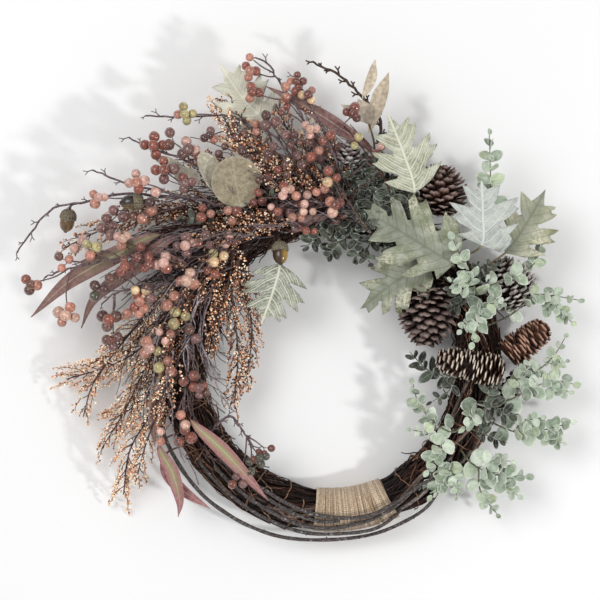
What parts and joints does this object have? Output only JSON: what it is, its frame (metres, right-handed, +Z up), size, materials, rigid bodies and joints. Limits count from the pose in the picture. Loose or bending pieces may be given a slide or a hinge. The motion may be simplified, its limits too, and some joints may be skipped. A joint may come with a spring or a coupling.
{
  "type": "half wreath",
  "caption": "Round twig ring lying flat, its left and top filled with berry and seed sprays and long leaves, its right with oak leaves, cones and eucalyptus, and a jute band below.",
  "frame": {"origin": "centre of the bounding box on the surface that the wreath lies on", "axes": "+Z up out of the face of the wreath, +X to the eucalyptus side, +Y to the top of the wreath"},
  "size_m": [0.5704, 0.4858, 0.0994],
  "materials": {
    "twig": "matte dark brown twigs",
    "jute": "coarse tan jute",
    "withe": "matte grey-black bark",
    "berry": "satin, salmon to burgundy",
    "seed": "matte copper and gold seeds",
    "sage": "matte sage green with pale veins",
    "burgundy": "matte burgundy",
    "khaki": "matte khaki",
    "cone": "matte dark brown scales",
    "acorn": "satin brown",
    "eucalyptus": "matte frosted grey-green"
  },
  "bodies": {
    "root": {"twig_ring": "twig", "jute_band": "jute", "withe_outer": "withe", "withe_inner": "withe", "withe_middle": "withe", "pine_cone_top": "cone", "pine_cone_left": "cone", "pine_cone_right": "cone", "spruce_cone_front": "cone", "spruce_cone_side": "cone", "spruce_cone_low": "cone", "grey_pod": "cone", "oak_leaf_upper_left": "sage", "oak_leaf_inner_left": "sage", "oak_leaf_upper_right": "sage", "oak_leaf_pale": "sage", "oak_leaf_broad": "sage", "oak_leaf_lower": "sage", "oak_leaf_olive": "sage", "long_leaf_left": "burgundy", "long_leaf_left_lower": "burgundy", "long_leaf_bottom_left": "burgundy", "long_leaf_bottom_back": "burgundy", "long_leaf_bottom_right": "burgundy", "long_leaf_top": "burgundy", "round_leaves_left": "khaki", "round_leaves_top": "khaki", "eucalyptus_top": "eucalyptus", "eucalyptus_upper_right": "eucalyptus", "eucalyptus_centre": "eucalyptus", "eucalyptus_middle": "eucalyptus", "eucalyptus_right": "eucalyptus", "eucalyptus_side": "eucalyptus", "eucalyptus_side_low": "eucalyptus", "eucalyptus_low_right": "eucalyptus", "eucalyptus_bottom_right": "eucalyptus", "eucalyptus_bottom": "eucalyptus", "eucalyptus_inner": "eucalyptus", "eucalyptus_ring": "eucalyptus", "acorn_left": "acorn", "acorn_centre": "acorn", "berry_stem_acorn": "berry", "berry_stem_upper_left": "berry", "berry_stem_high_left": "berry", "berry_stem_top_left": "berry", "berry_stem_top": "berry", "berry_stem_top_right": "berry", "dark_twig": "berry", "berry_stem_middle": "berry", "berry_stem_front": "berry", "berry_stem_left": "berry", "berry_stem_left_low": "berry", "berry_stem_inner": "berry", "berry_stem_low": "berry", "seed_head_left": "seed", "seed_head_left_low": "seed", "seed_head_bottom": "seed", "seed_head_inner": "seed", "seed_head_top": "seed", "seed_head_upper_left": "seed"}
  },
  "joints": []
}
